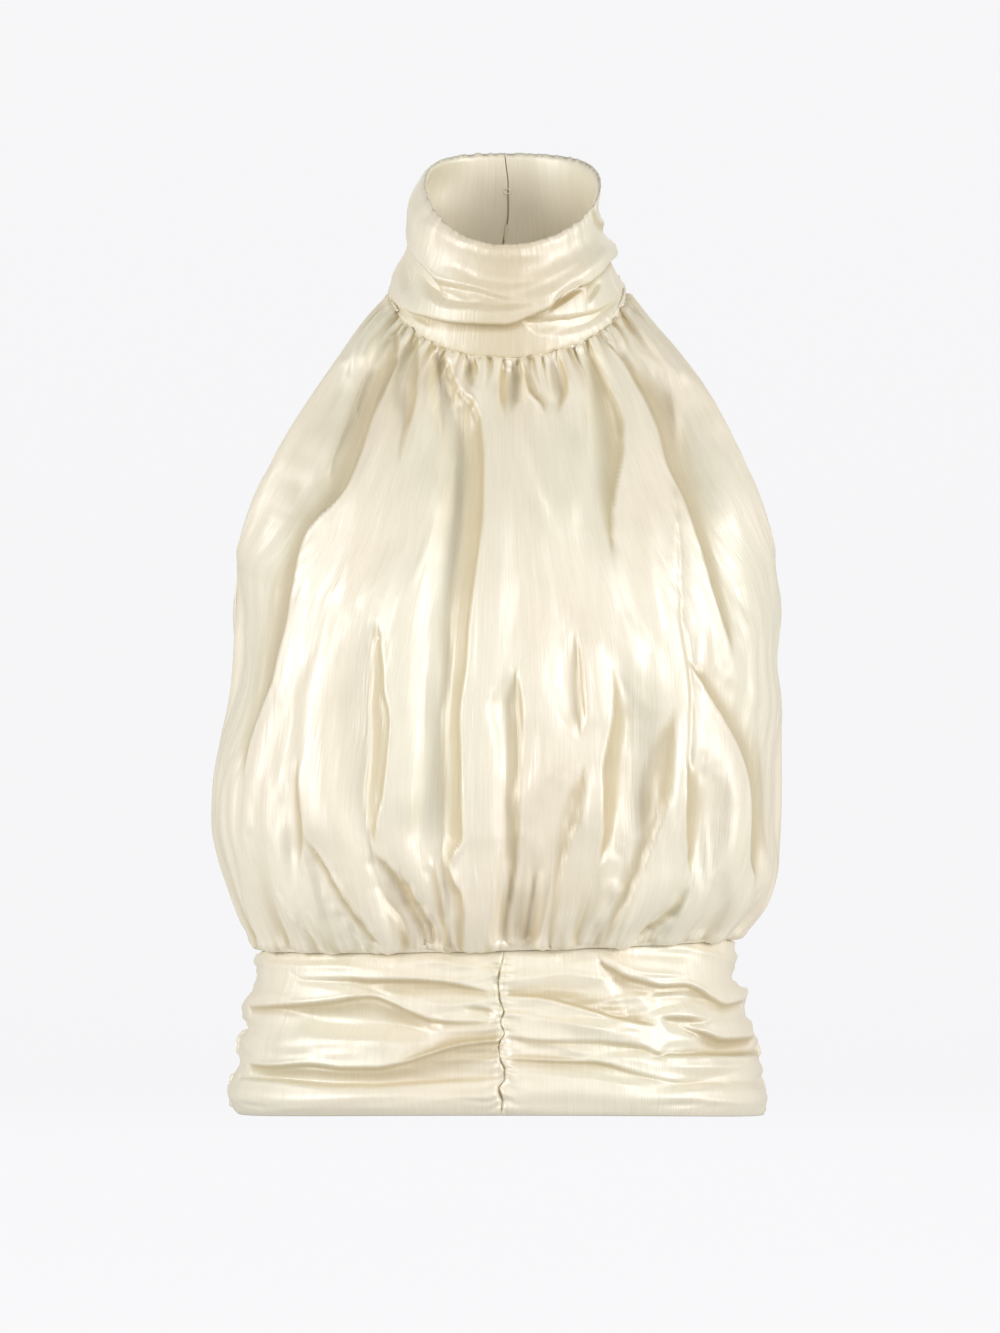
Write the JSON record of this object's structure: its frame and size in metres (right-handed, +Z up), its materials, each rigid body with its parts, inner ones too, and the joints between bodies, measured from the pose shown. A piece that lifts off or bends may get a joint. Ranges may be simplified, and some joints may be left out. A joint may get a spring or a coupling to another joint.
{
  "type": "halter neck top",
  "caption": "Sleeveless halter top in cream satin, with a draped stand collar, a gathered front that blouses over a ruched waistband, and a keyhole back.",
  "frame": {"origin": "middle of the neck inside the collar, level with the points where the front armhole edges meet the collar", "axes": "+Z up along the standing wearer, -Y the front of the top, +X the right of somebody who looks at the front"},
  "size_m": [0.3175, 0.2367, 0.5424],
  "materials": {
    "satin": "glossy slubbed satin weave with a soft sheen"
  },
  "bodies": {
    "root": {"collar": "satin", "front_body": "satin", "back_left": "satin", "back_right": "satin", "band_front_left": "satin", "band_front_right": "satin", "band_back": "satin"}
  },
  "joints": []
}
